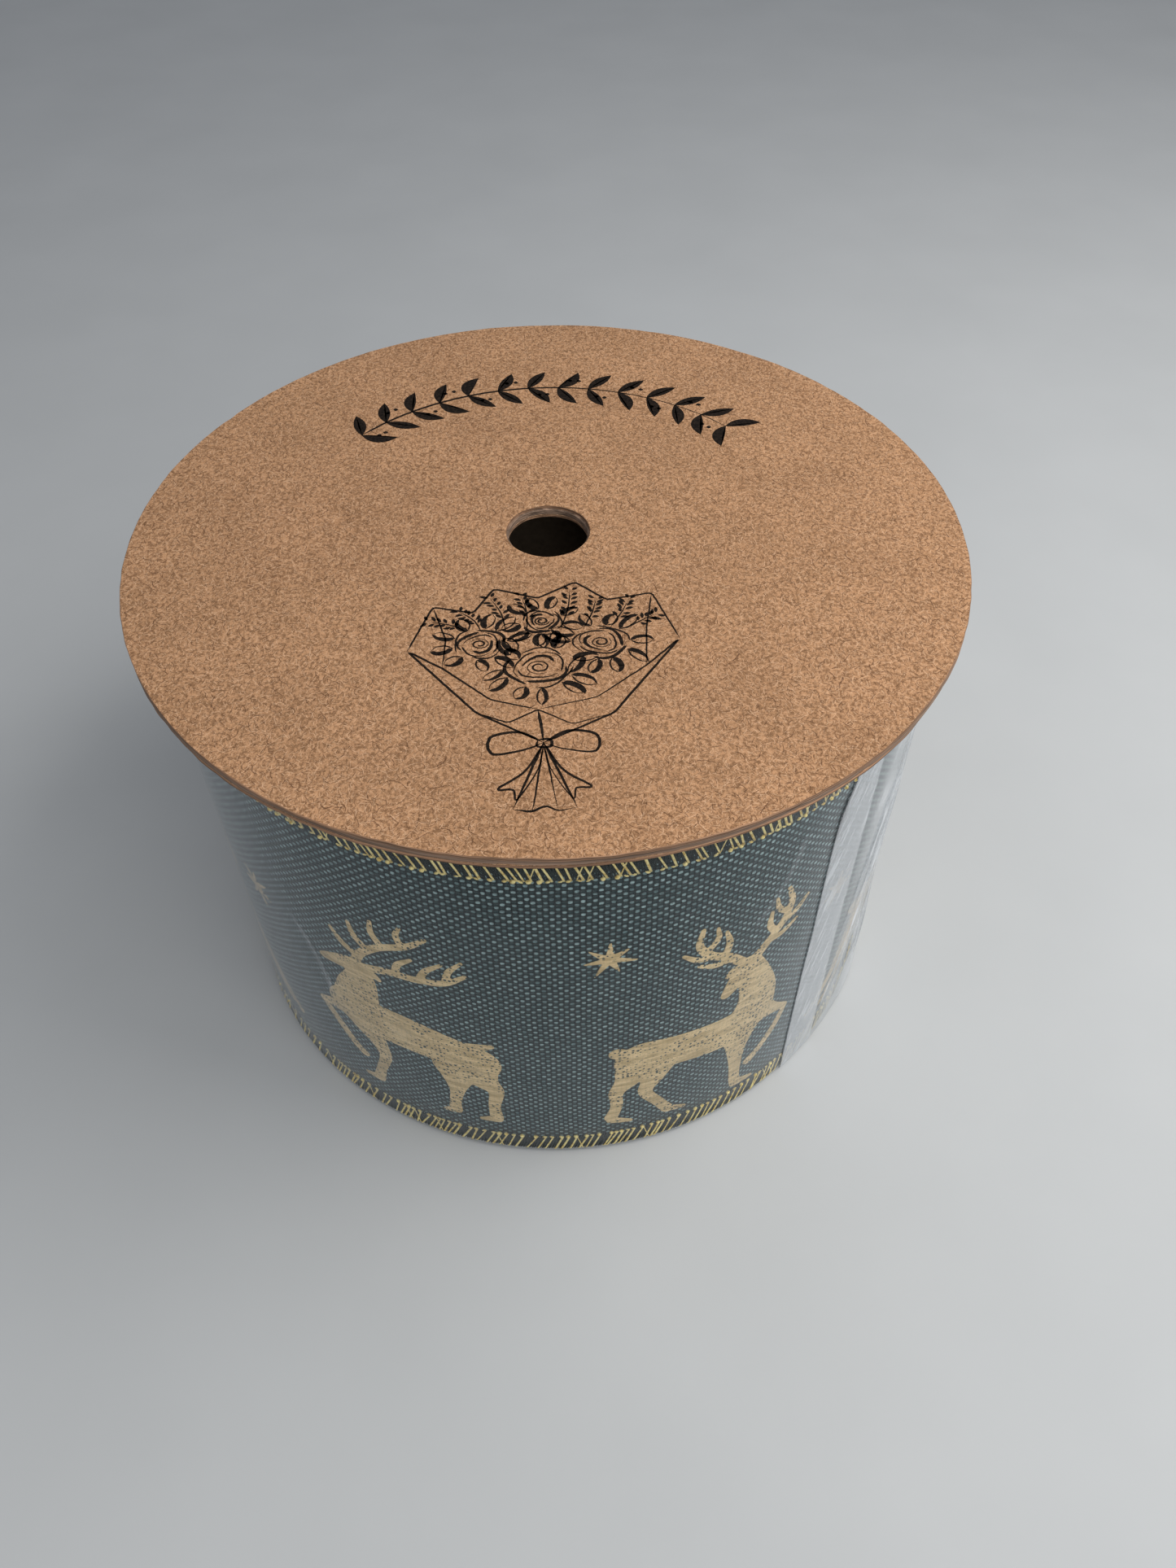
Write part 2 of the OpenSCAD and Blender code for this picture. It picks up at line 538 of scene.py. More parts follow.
def clear_film():
    """Clear film: a mirror sheen that grows at low angles, and milkier where it laps or creases; past
    the lap the milk is partly a painted highlight.
    """
    s = Shader("clear_film", Base_Color=(0.86, 0.89, 0.92, 1), Roughness=0.14)
    milk = s.value("Attribute", {"attribute_name": "milk"}, "Fac")
    streak = s.noise(s.flat((1, 0.1, 1)), 0.3, detail=3.0)
    grazing = s.value("LayerWeight", output="Facing", Blend=0.5)
    sheen = s.math("POWER", grazing, 5.0) * 0.85 + 0.01
    lines = s.step(s.noise(s.flat((2.2, 0.16, 1), turn=0.3), 1.0, detail=2.0), 0.5, 0.68)
    cloudy = milk * (lines * 0.4 + 0.36)
    amount = s.math("ADD", sheen, streak * 0.008 + cloudy, clamp=True)
    both = s.node("MixShader", Fac=amount)
    s.put(both.inputs[1], s.node("BsdfTransparent").outputs[0])
    s.put(both.inputs[2], s.principled.outputs[0])
    s.put(s.output.inputs["Surface"], both.outputs[0])
    s.set("Metallic", s.math("DIVIDE", sheen, amount + 0.001, clamp=True))
    s.bump(s.noise(s.flat((0.6, 0.35, 1)), 0.4, detail=3.0), 0.25, 0.3)
    return s.material


def print_ink():
    """Matt brown-black ink, a little uneven."""
    return two_tone("print_ink", (0.008, 0.006, 0.005), (0.03, 0.02, 0.014), dict(scale=3.0),
                    (0.35, 0.8), (0.03, 0.4), Roughness=0.9, Specular_IOR_Level=0.1)


# How far the tube's seam climbs in one turn
SEAM_PITCH = 46


def tube_paper():
    """Spiral-wound grey-brown tube, with a seam that climbs it."""
    s = Shader("tube_paper", Roughness=0.9)
    place = s.millimetres()
    x, y, z = s.split("SeparateXYZ", Vector=place)
    climb = z * (TAU / SEAM_PITCH) + s.math("ARCTAN2", y, x)
    seam = s.step(abs(s.sine(climb * 0.5)), 0.04, 0.0)
    felt = s.noise(place, 1.4, detail=4.0)
    tone = s.mix(felt, (0.17, 0.125, 0.09), (0.36, 0.28, 0.2))
    s.set("Base Color", s.mix(seam, tone, (0.06, 0.045, 0.035)))
    s.bump(felt - seam, 0.1, 0.6)
    return s.material


def glue():
    """Waxy dried glue."""
    return two_tone("glue", (0.56, 0.48, 0.33), (0.82, 0.76, 0.6), dict(scale=0.8, detail=3.0),
                    raised=(0.3, 0.6), Roughness=0.42, Subsurface_Weight=0.2, Subsurface_Scale=0.001)


def bare_wire():
    """Drawn wire."""
    return two_tone("bare_wire", (0.5, 0.36, 0.22), (0.72, 0.55, 0.36), dict(scale=2.0),
                    stretch=(1, 1, 6), Metallic=1.0, Roughness=0.34)


def floor_paint():
    """Plain pale floor."""
    return two_tone("floor_paint", (0.48, 0.495, 0.5), (0.54, 0.555, 0.56),
                    dict(scale=0.03, detail=4.0), Roughness=0.75)


# ---------------------------------------------------------------- the discs


def ply(name, node, low, top, hole_r, outer_r, face, edge, seed):
    """A punched ply: flat faces, a slightly uneven cut edge, and softened corners."""
    around = 720
    soft = 0.07
    angle = np.linspace(0, TAU, around, endpoint=False)
    rim = ring(outer_r, angle, 0)
    rough = 0.05 * waves(rim, seed, 14) + 0.03 * waves(rim, seed + 1, 2.2)
    rough -= 0.09 * np.clip(waves(rim, seed + 2, 3.1) - 1.0, 0, 1)
    rough -= rough.max()
    bite = 0.03 * waves(ring(hole_r, angle, 0), seed + 3, 2.4)
    bite -= bite.min()
    profile = [(hole_r, low), (hole_r, top - soft), (hole_r + soft, top)]
    inner_count = len(profile)
    profile += [(r, top) for r in np.linspace(hole_r + 2, outer_r - 1, 7)]
    profile += [(outer_r - soft, top), (outer_r, top - soft), (outer_r, low + soft)]
    profile += [(outer_r - soft, low)]
    sections = []
    for number, (r, z) in enumerate(profile):
        share = 0 if number < inner_count else np.clip((r - outer_r + 2) / 2, 0, 1)
        moved = r + share * rough + (bite if number < inner_count else 0)
        sections.append(ring(moved, angle, z))
    grid = np.stack(sections, axis=1)
    m = len(profile)
    a = np.arange(around)[:, None] * m + np.arange(m)[None, :]
    b = np.roll(a, -1, axis=0)
    quads = np.stack([a, b, np.roll(b, -1, axis=1), np.roll(a, -1, axis=1)], axis=-1)
    uv = np.stack(np.broadcast_arrays(angle[:, None] * outer_r, np.array([z for _, z in profile])), -1)
    parts = Parts()
    parts.add(grid, quads.reshape(-1, 4).tolist(), uv)
    thing = add_mesh(name, parts, face, "spool", smooth=False)
    thing.data.materials.append(edge)
    is_edge = [i % m in (0, m - 4, m - 3, m - 2) for i in range(around * m)]
    thing.data.polygons.foreach_set("material_index", np.array(is_edge, np.int32))
    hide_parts(node)
    return thing


# ---------------------------------------------------------------- the wound ribbon


def strip_stations(fine=600, coarse=96, fine_turns=1.1):
    """Turns back from the free end at which the strip has a section, close together outside."""
    outer = np.linspace(0, fine_turns, int(fine * fine_turns) + 1)
    inner = np.linspace(fine_turns, TURNS, int(coarse * (TURNS - fine_turns)) + 1)
    return np.concatenate([outer, inner[1:]])


def strip(name, profile, material, node, flat_height):
    """Sweeps a profile of (out from the strip's middle, z) along the whole wound ribbon."""
    back = strip_stations()
    out, z = np.array(profile, float).T
    angle = TAIL - TAU * back
    radius = layer_r(back)[:, None] + out[None, :]
    radius = radius + web_ripple(angle[:, None], z[None, :])
    sections = ring(radius, angle[:, None], z[None, :])
    u = np.broadcast_to(-length_back(back)[:, None], radius.shape)
    v = np.broadcast_to(flat_height(z)[None, :], radius.shape)
    parts = Parts()
    parts.sweep(sections[:, ::-1], np.stack([u, v], axis=-1)[:, ::-1])
    thing = add_mesh(name, parts, material, "ribbon_roll")
    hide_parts(node)
    return thing


def web_profile(rows=18):
    z = np.linspace(WEB_LOW - 0.1, WEB_TOP + 0.1, rows + 1)
    outer = [(WEB_T / 2, h) for h in z]
    return outer + [(-WEB_T / 2, h) for h in z[::-1]]


# Out from the strip's middle, and how far past the web, round one side of the rolled edge
ROLLED = [(0.17, -0.1), (0.24, 0.35), (0.29, 1.0), (0.33, 1.8), (0.36, 2.4), (0.31, 2.85), (0.16, 3.1)]


def edge_profile(side):
    """The rolled edge: side is 1 at the top of the ribbon and -1 at its bottom."""
    outer = [(out, web_end(side) + side * past) for out, past in ROLLED]
    inner = [(-out, z) for out, z in outer[::-1]]
    profile = outer + inner
    return profile if side > 0 else profile[::-1]


def over_edge(lift, reach):
    """The way a thread takes: from reach mm down the web, up the outer side, over the edge, and a
    little down the inner one."""
    outer = [(WEB_T / 2 + lift, -reach)] + [(out + lift, past) for out, past in ROLLED[1:]]
    crown = [(0.0, EDGE_H + lift * 0.4)]
    inner = [(-out - lift * 0.5, past) for out, past in ROLLED[::-1][:3]]
    return smooth_line(outer + crown + inner, 2)


def over_edge_thread(parts, side, start, way, slant, radius, sides, flat):
    """One stitch over the edge, start mm back from the ribbon's free end."""
    out, past = way.T
    place = start + slant * past / EDGE_H
    back = place / (TAU * END_R)
    angle = TAIL - TAU * back
    z = web_end(side) + side * past
    path = ring(layer_r(back) + out, angle, z)
    outward = ring(1, angle, 0)
    fade = np.clip(out / 0.3, -1, 1)[:, None]
    outward = outward * fade + np.array([0, 0, side]) * (1 - np.abs(fade)) + 1e-6
    parts.sweep(tube_sections(path, radius, sides, outward, flat))


def dark_stitches(side, material):
    """Close dark overlock thread round the outermost turn's edge."""
    rng = np.random.default_rng(20 + side)
    parts = Parts()
    way = over_edge(0.04, 0.7 if side > 0 else 0.3)
    for start in np.arange(0.3, TAU * END_R - 0.4, STITCH):
        jitter = rng.normal(0, 0.03)
        over_edge_thread(parts, side, start + jitter, way, 0.7 + jitter, 0.11, 5, 0.75)
    return add_mesh(edge_name(side) + "_threads", parts, material, "ribbon_roll")


def edge_name(side):
    return "top_edge" if side > 0 else "bottom_edge"


def gold_stitches(side, material):
    """Flat gold yarn that crosses the edge on a slant, with a bright knot where each stitch turns."""
    rng = np.random.default_rng(40 + side)
    parts = Parts()
    reach = 0.8 if side > 0 else 0.4
    way = over_edge(0.105, reach)
    start = 0.6
    while start < TAU * END_R - 1.6:
        lean = 1.2 + rng.normal(0, 0.16)
        over_edge_thread(parts, side, start, way, lean, rng.uniform(0.11, 0.17), 6, 0.5)
        if rng.random() < 0.15:
            over_edge_thread(parts, side, start + lean, way, -0.8, 0.08, 5, 0.5)
        place = start + np.linspace(-0.15, 0.35, 5)
        angle = TAIL - place / END_R
        z = web_end(side) - side * reach + np.linspace(-0.1, 0.1, 5) * rng.normal(0, 1)
        out = layer_r(turns_back(angle)) + WEB_T / 2 + 0.12
        path = ring(out + web_ripple(angle, z), angle, z)
        bead = 0.26 if rng.random() < 0.35 else rng.uniform(0.1, 0.18)
        thick = bead * np.array([0.4, 0.9, 1.1, 0.9, 0.4])
        parts.sweep(tube_sections(path, thick, 6, ring(1, angle, 0), 0.9))
        start += float(np.clip(rng.normal(1.08, 0.3), 0.6, 2.0))
    return add_mesh(edge_name(side) + "_gold", parts, material, "ribbon_roll")


# ---------------------------------------------------------------- the print on the ribbon

# Each limb is a list of (along, up, half thickness), and a motif is a list of limbs. Along is from
# the motif's own middle and grows to the right as seen from outside; up is from the bottom edge.
LEAPING_STAG = [
    [(-7.6, 24.6, 3.6), (-4.4, 24.6, 4.1), (0.6, 24.4, 4.0), (5.2, 23.4, 3.6), (8.2, 21.8, 4.0)],
    [(-6.6, 26.0, 3.6), (-5.8, 29.6, 3.0), (-4.8, 33.0, 2.2), (-4.9, 35.2, 1.9)],
    [(-4.8, 35.4, 1.9), (-6.8, 35.2, 1.35), (-8.9, 34.5, 0.9), (-10.2, 34.0, 0.55)],
    [(-4.4, 35.4, 0.8), (-2.8, 35.4, 0.65), (-1.9, 34.8, 0.3)],
    [(-5.0, 36.6, 0.7), (-3.6, 39.4, 0.62), (-0.8, 42.2, 0.55), (2.6, 44.2, 0.5), (5.2, 46.6, 0.3)],
    [(-4.2, 38.2, 0.5), (-6.2, 39.8, 0.45), (-7.4, 42.0, 0.25)],
    [(-2.6, 40.6, 0.5), (-4.0, 42.6, 0.45), (-4.4, 45.0, 0.25)],
    [(-0.4, 42.4, 0.5), (-1.4, 44.8, 0.42), (-1.2, 47.0, 0.25)],
    [(2.2, 44.0, 0.48), (1.8, 46.0, 0.4), (2.4, 47.6, 0.22)],
    [(-3.6, 36.4, 0.7), (-0.2, 37.6, 0.62), (3.4, 38.0, 0.58), (6.6, 38.8, 0.5), (9.2, 41.0, 0.3)],
    [(0.6, 37.8, 0.5), (1.2, 40.0, 0.45), (3.0, 41.8, 0.25)],
    [(3.6, 38.1, 0.5), (4.6, 40.4, 0.42), (6.6, 42.4, 0.25)],
    [(6.8, 39.0, 0.45), (7.4, 41.4, 0.4), (9.0, 43.6, 0.22)],
    [(-7.4, 24.6, 2.4), (-10.4, 22.8, 1.2), (-13.0, 21.7, 0.55)],
    [(-13.0, 21.7, 0.6), (-10.9, 18.0, 0.75), (-9.0, 14.6, 0.75), (-7.7, 13.2, 0.8)],
    [(-6.4, 22.4, 2.8), (-4.6, 18.6, 1.5), (-4.0, 15.4, 0.95), (-5.2, 11.4, 0.75), (-5.9, 8.6, 0.9)],
    [(-6.0, 8.0, 0.8), (-8.2, 7.5, 0.35)],
    [(6.6, 20.6, 3.7), (6.2, 16.4, 1.9), (5.9, 13.2, 1.0), (5.4, 10.0, 0.8), (5.3, 8.2, 0.9)],
    [(5.4, 7.8, 0.8), (3.9, 7.2, 0.4)],
    [(8.4, 20.4, 3.3), (9.6, 17.6, 2.0), (11.1, 15.2, 1.1), (10.7, 11.2, 0.8), (10.8, 8.0, 0.9)],
    [(10.8, 7.5, 0.85), (8.8, 7.0, 0.35)],
    [(8.6, 25.4, 1.0), (11.2, 26.4, 0.4)],
]
LOOKING_STAG = [
    [(-8.2, 21.8, 4.0), (-4.0, 21.9, 3.5), (1.8, 21.4, 3.7), (5.4, 21.8, 3.8)],
    [(6.0, 22.4, 3.8), (6.5, 27.0, 2.9), (5.5, 31.6, 2.3), (4.4, 34.6, 2.0)],
    [(4.2, 35.0, 2.0), (3.0, 33.2, 1.5), (2.1, 31.6, 1.05), (1.6, 30.7, 0.75)],
    [(3.4, 36.2, 0.7), (2.0, 35.4, 0.6), (1.4, 34.6, 0.3)],
    [(3.2, 36.6, 0.7), (1.2, 39.0, 0.65), (-1.2, 40.8, 0.6), (-2.8, 43.4, 0.5), (-2.6, 46.4, 0.3)],
    [(1.8, 38.4, 0.5), (-0.6, 38.4, 0.45), (-2.6, 39.4, 0.25)],
    [(-0.6, 40.4, 0.5), (-2.8, 40.8, 0.45), (-4.6, 42.4, 0.25)],
    [(0.6, 39.6, 0.5), (1.0, 42.0, 0.45), (0.4, 44.4, 0.25)],
    [(-1.8, 41.8, 0.45), (-0.6, 43.8, 0.4), (-0.8, 45.8, 0.22)],
    [(5.2, 36.4, 0.8), (7.0, 38.8, 0.65), (8.6, 41.2, 0.6), (9.2, 44.2, 0.5), (8.4, 47.0, 0.3)],
    [(6.4, 38.2, 0.5), (8.6, 38.4, 0.45), (10.6, 39.6, 0.25)],
    [(8.2, 40.6, 0.5), (10.2, 41.4, 0.45), (11.8, 43.2, 0.25)],
    [(7.4, 39.6, 0.5), (6.4, 41.6, 0.45), (6.4, 44.0, 0.25)],
    [(8.9, 42.4, 0.45), (7.4, 44.0, 0.4), (6.8, 46.2, 0.22)],
    [(7.2, 21.6, 2.6), (9.8, 20.2, 1.2), (12.4, 18.6, 0.5)],
    [(12.4, 18.6, 0.5), (11.0, 14.8, 0.62), (9.0, 11.6, 0.62), (7.2, 9.7, 0.8)],
    [(5.0, 20.4, 3.1), (4.8, 15.4, 1.6), (5.0, 11.0, 1.0), (5.2, 7.2, 0.85), (5.6, 5.4, 0.95)],
    [(6.0, 5.2, 0.8), (8.2, 4.7, 0.35)],
    [(-9.0, 20.4, 3.1), (-10.4, 17.2, 1.7), (-11.8, 14.4, 1.0), (-11.7, 10.8, 0.8), (-12.4, 7.8, 0.9)],
    [(-12.2, 7.0, 0.8), (-9.8, 6.1, 0.35)],
    [(-7.0, 20.2, 3.1), (-7.2, 16.4, 1.6), (-8.0, 13.2, 0.95), (-6.2, 9.6, 0.8), (-4.8, 6.8, 0.85)],
    [(-4.6, 6.5, 0.8), (-2.4, 5.8, 0.35)],
    [(-10.4, 23.4, 1.2), (-11.8, 24.4, 1.1)],
]
GALLOPING_STAG = [
    [(-9.0, 22.4, 3.8), (-4.0, 23.6, 3.5), (2.0, 24.2, 3.8), (6.4, 24.4, 3.9)],
    [(6.6, 26.0, 3.4), (7.6, 29.6, 2.7), (7.2, 33.0, 2.1), (6.6, 35.2, 1.8)],
    [(6.6, 35.4, 1.8), (8.4, 34.6, 1.3), (10.4, 33.4, 0.9), (11.4, 32.7, 0.6)],
    [(5.8, 36.0, 0.8), (4.2, 35.6, 0.5), (3.4, 35.0, 0.3)],
    [(6.2, 36.6, 0.7), (4.0, 38.6, 0.65), (2.0, 40.8, 0.6), (1.4, 43.8, 0.55), (2.2, 46.8, 0.35)],
    [(4.2, 38.4, 0.5), (5.2, 40.2, 0.45), (6.6, 41.2, 0.25)],
    [(2.2, 40.6, 0.5), (3.6, 42.4, 0.45), (5.2, 43.4, 0.25)],
    [(1.6, 43.0, 0.5), (-0.2, 44.4, 0.42), (-1.0, 46.2, 0.25)],
    [(2.6, 40.2, 0.5), (0.4, 40.8, 0.42), (-1.2, 42.0, 0.25)],
    [(4.6, 36.8, 0.6), (1.4, 37.2, 0.6), (-2.0, 38.4, 0.55), (-4.8, 40.6, 0.35)],
    [(0.0, 37.7, 0.5), (-0.4, 39.2, 0.4), (-0.2, 40.4, 0.25)],
    [(-2.2, 38.5, 0.5), (-2.9, 40.6, 0.42), (-2.6, 42.4, 0.25)],
    [(7.6, 23.2, 2.8), (12.0, 18.6, 1.3), (16.4, 13.0, 0.8), (20.2, 8.6, 0.75)],
    [(6.2, 22.2, 2.6), (10.4, 16.4, 1.3), (14.4, 11.8, 0.8), (18.0, 8.8, 0.6)],
    [(-9.6, 21.0, 3.4), (-13.0, 16.6, 1.8), (-14.8, 12.8, 1.1), (-18.2, 9.4, 0.9), (-19.8, 8.6, 0.8)],
    [(-8.0, 20.4, 3.0), (-10.0, 15.4, 1.6), (-11.4, 11.4, 1.0), (-14.6, 7.6, 0.9), (-16.0, 6.8, 0.8)],
    [(-11.4, 24.6, 1.1), (-13.4, 25.8, 0.9)],
]
# Where each stag's middle is along the outermost turn, in mm to the right of the front, and where
# each star's is, as (along, up)
STAGS = [
    (GALLOPING_STAG, -62),
    (LEAPING_STAG, -20),
    (LOOKING_STAG, 18),
    (GALLOPING_STAG, 57),
    (LEAPING_STAG, 97),
    (LOOKING_STAG, -101),
]
STARS = [(-41.9, 37.0), (5.0, 45.0), (36.5, 38.0), (77.0, 42.0), (121.0, 40.0), (-82.0, 43.0)]


def limb_distance(x, y, limb):
    """Distance outside a limb whose thickness changes along it; negative inside."""
    line = smooth_line(limb, 5)
    best = np.full(x.shape, np.inf)
    for a, b in zip(line, line[1:]):
        share = share_along(x, y, a, b)
        near_x, near_y, half = (start + share * (end - start) for start, end in zip(a, b))
        best = np.minimum(best, np.hypot(x - near_x, y - near_y) - half)
    return best


def star_distance(x, y, cx, cy, rays=7, reach=3.4, waist=0.95, turn=0.2):
    """Distance outside a star with uneven rays, roughly; negative inside."""
    angle = np.mod(np.arctan2(y - cy, x - cx) - turn, TAU)
    ray = np.floor(angle / (TAU / rays))
    off = np.abs(angle - (ray + 0.5) * TAU / rays) / (TAU / rays / 2)
    tip = reach * (1 + 0.12 * np.sin(ray * 2.4 + cx))
    edge = 1 / ((1 - off) / tip + off / waist)
    return (np.hypot(x - cx, y - cy) - edge) * 0.35


def cut_out(distance, low, high, step):
    """Points and faces of the part of a grid where distance is negative, with a clean outline."""
    xs = np.arange(low[0], high[0] + step, step)
    ys = np.arange(low[1], high[1] + step, step)
    x, y = np.meshgrid(xs, ys, indexing="ij")
    d = distance(x, y)
    points, faces, made = [], [], {}

    def corner(i, j):
        if (i, j) not in made:
            made[i, j] = len(points)
            points.append((x[i, j], y[i, j]))
        return made[i, j]

    def crossing(a, b):
        key = (min(a, b), max(a, b))
        if key not in made:
            (i, j), (k, m) = key
            t = min(0.98, max(0.02, d[i, j] / (d[i, j] - d[k, m])))
            made[key] = len(points)
            points.append((x[i, j] + t * (x[k, m] - x[i, j]), y[i, j] + t * (y[k, m] - y[i, j])))
        return made[key]

    inside = d < 0
    touched = inside[:-1, :-1] | inside[1:, :-1] | inside[:-1, 1:] | inside[1:, 1:]
    for i, j in np.argwhere(touched).tolist():
        walk = [(i, j), (i + 1, j), (i + 1, j + 1), (i, j + 1)]
        face = []
        for a, b in zip(walk, walk[1:] + walk[:1]):
            if inside[a]:
                face.append(corner(*a))
            if inside[a] != inside[b]:
                face.append(crossing(a, b))
        faces.append(face)
    return np.array(points), faces


def thicken(parts, top, bottom, faces, uv):
    """Adds a closed slab between two copies of the same faces."""
    count = len(top)
    edges = dict.fromkeys(edge for face in faces for edge in zip(face, face[1:] + face[:1]))
    walls = [[b, a, a + count, b + count] for a, b in edges if (b, a) not in edges]
    under = [[i + count for i in face[::-1]] for face in faces]
    parts.add(np.concatenate([top, bottom]), faces + under + walls, np.concatenate([uv, uv]))


FOIL_T = 0.05


def print_motif(parts, distance, low, high, shift):
    """Lays a cut-out on the outer face of the outermost turn, shift mm to the right of the front."""
    flat, faces = cut_out(distance, low, high, 0.22)
    angle = FRONT + (flat[:, 0] + shift) / WEB_OUT_R
    z = RIBBON_LOW + flat[:, 1]
    face_r = web_face_r(angle, z)
    uv = np.stack([-length_back(turns_back(angle)), z - WEB_LOW], axis=-1)
    thicken(parts, ring(face_r + FOIL_T, angle, z), ring(face_r - FOIL_T, angle, z), faces, uv)


def ribbon_print(material):
    """Stags and stars in pale gold round the outermost turn."""
    parts = Parts()
    for limbs, shift in STAGS:
        rows = np.array([row for limb in limbs for row in limb])
        low = (rows[:, :2] - rows[:, 2:]).min(0) - 0.5
        high = (rows[:, :2] + rows[:, 2:]).max(0) + 0.5

        def stag(x, y, limbs=limbs):
            return np.min([limb_distance(x, y, limb) for limb in limbs], axis=0)

        print_motif(parts, stag, low, high, shift)
    for x0, y0 in STARS:
        print_motif(
            parts, lambda x, y: star_distance(x, y, x0, y0), (x0 - 4, y0 - 4), (x0 + 4, y0 + 4), 0
        )
    return add_mesh("ribbon_print", parts, material, "ribbon_roll")


# ---------------------------------------------------------------- the film band

LAP_LEFT = FRONT + math.radians(40.3)
LAP_RIGHT = FRONT + math.radians(48.9)
FILM_T = 0.05
FILM_GAP = 0.5
# Creases beside the lap, and a few faint ones, as (mm right of the front, z, the other end's two,
# half width, height)
CREASES = [
    (39, 8, 47, 30, 0.35, 0.3), (41, 14, 52, 44, 0.4, 0.35), (42, 30, 50, 58, 0.35, 0.3),
    (46, 10, 55, 33, 0.4, 0.35), (45, 40, 53, 62, 0.4, 0.35), (49, 22, 60, 55, 0.5, 0.4),
    (40, 24, 46, 44, 0.3, 0.22), (52, 8, 62, 30, 0.5, 0.4), (43, 4, 49, 18, 0.35, 0.3),
    (44, 22, 51, 50, 0.3, 0.25), (47, 30, 56, 60, 0.35, 0.3), (50, 6, 57, 26, 0.35, 0.3),
    (42, 10, 49, 36, 0.28, 0.25), (48, 16, 57, 46, 0.3, 0.28), (53, 30, 63, 62, 0.4, 0.35),
    (-31, 24, -22, 16, 0.3, 0.12), (-29, 30, -20, 24, 0.3, 0.1), (-27, 15, -17, 6, 0.25, 0.14),
    (-20, 26, -10, 20, 0.3, 0.1), (-24, 20, -12, 12, 0.25, 0.1), (-6, 12, 3, 5, 0.25, 0.08),
    (22, 44, 27, 56, 0.3, 0.1), (-34, 40, -30, 26, 0.35, 0.14),
]
# How far round from the lap the band is crumpled, in radians
CRUMPLED = 0.62
# Where the band stands away from the roll at the bottom, in mm right of the front; how far that
# reaches along it; and by how much
LOOSE_AT, LOOSE_REACH, LOOSE_OUT = 54, 13, 1.0


def film_r(angle):
    """The band follows the roll, and goes straight from the free end's step to the layer below."""
    roll = layer_r(turns_back(angle))
    low = END_R - PITCH
    past_tail = np.mod(angle - TAIL, TAU)
    reach = math.acos(low / END_R)
    straight = low / np.cos(np.minimum(np.abs(reach - past_tail), 1.0))
    return np.where(past_tail < reach, np.maximum(roll, straight), roll) + FILM_GAP


def from_front(angle):
    """Mm along the outermost turn from the front, to the right."""
    return (np.mod(angle - FRONT + math.pi, TAU) - math.pi) * END_R


def film_waver(angle, z):
    """Slow shape: drawn in between the two edges of the ribbon, uneven, and loose at one place."""
    middle = np.clip(np.sin((z - FILM_LOW) / (FILM_TOP - FILM_LOW) * math.pi), 0, 1) ** 0.5
    loose = np.exp(-(((from_front(angle) - LOOSE_AT) / LOOSE_REACH) ** 2))
    loose = LOOSE_OUT * loose * np.clip(1 - z / 34, 0, 1) ** 1.3
    uneven = 0.03 * waves(ring(END_R, angle, z), 11, 15) ** 2
    return loose + uneven - 0.16 * middle


def film_creases(angle, z):
    """Height of the creases."""
    along = from_front(angle)
    total = np.zeros(np.broadcast(angle, z).shape)
    for x0, z0, x1, z1, half, height in CREASES:
        near = share_along(along, z, (x0, z0), (x1, z1))
        arch = np.sin(near * math.pi)
        far = np.hypot(along - x0 - near * (x1 - x0) - 0.9 * arch, z - z0 - near * (z1 - z0))
        total = total + height * np.exp(-((far / half) ** 2)) * arch**0.5
    return total


def out_and_back(rows):
    """Values for the band's outer face, and the same ones back down its inner face."""
    return np.concatenate([rows, rows[:, ::-1]], axis=1)


def film_band(material):
    """One strip of film: it starts outermost, goes once round, and ends under its own start."""
    rows = 80
    creased = LAP_LEFT + CRUMPLED
    fine = np.arange(LAP_LEFT, creased, 0.17 / END_R)
    coarse = np.linspace(creased, LAP_LEFT + TAU - 0.02, 560)
    angle = np.concatenate([fine, coarse, np.arange(LAP_LEFT + TAU, LAP_RIGHT + TAU, 0.01)])
    hem = 0.6
    z = np.concatenate(
        [[FILM_LOW, FILM_LOW + hem / 2], np.linspace(FILM_LOW + hem, FILM_TOP - hem, rows), [FILM_TOP]]
    )
    a, h = angle[:, None], z[None, :]
    lean = 0.05 * np.clip((h - 52) / 10, 0, 1) ** 2
    end = np.exp(-((a - LAP_LEFT) / 0.02) ** 2)
    a = a + lean * end
    lapped = np.clip(1 - (a - LAP_RIGHT) / 0.12, 0, 1) * 0.14
    curl = 0.25 * np.clip((FILM_LOW + hem - h) / hem, 0, 1) ** 2
    creases = film_creases(a, h)
    radius = film_r(a) + film_waver(a, h) + creases + lapped - curl
    outer, inner = ring(radius, a, h), ring(radius - FILM_T, a, h)
    sections = np.concatenate([outer, inner[:, ::-1]], axis=1)
    flat = np.stack(np.broadcast_arrays((a - FRONT) * END_R, h), axis=-1)
    parts = Parts()
    parts.sweep(sections, out_and_back(flat))
    thing = add_mesh("film_band", parts, material, "ribbon_roll")
    in_lap = np.clip((LAP_RIGHT - a) / 0.012, 0, 1) + 0 * h
    past_lap = np.clip((a - LAP_RIGHT) / 0.1, 0, 1)
    past_lap = past_lap * np.clip((LAP_RIGHT + CRUMPLED - a) / 0.32, 0, 1)
    # The crumpled stretch past the lap is milky white: partly the crumpled film's own haze, partly a
    # painted highlight for the light it catches there.
    crumpled = past_lap * (0.45 + 0.2 * waves(ring(END_R, a, h), 15, 9))
    milk = np.clip(0.6 * in_lap + crumpled + np.clip(creases / 0.2, 0, 1) * 0.6, 0, 1)
    layer = thing.data.attributes.new("milk", "FLOAT", "POINT")
    layer.data.foreach_set("value", out_and_back(milk).astype(np.float32).ravel())
    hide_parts("film_sleeve")
    return thing


# ---------------------------------------------------------------- the print on the disc

INK_T = 0.012
INK_TOP = COVER_TOP
PAPER_TOP = COVER_TOP - INK_T


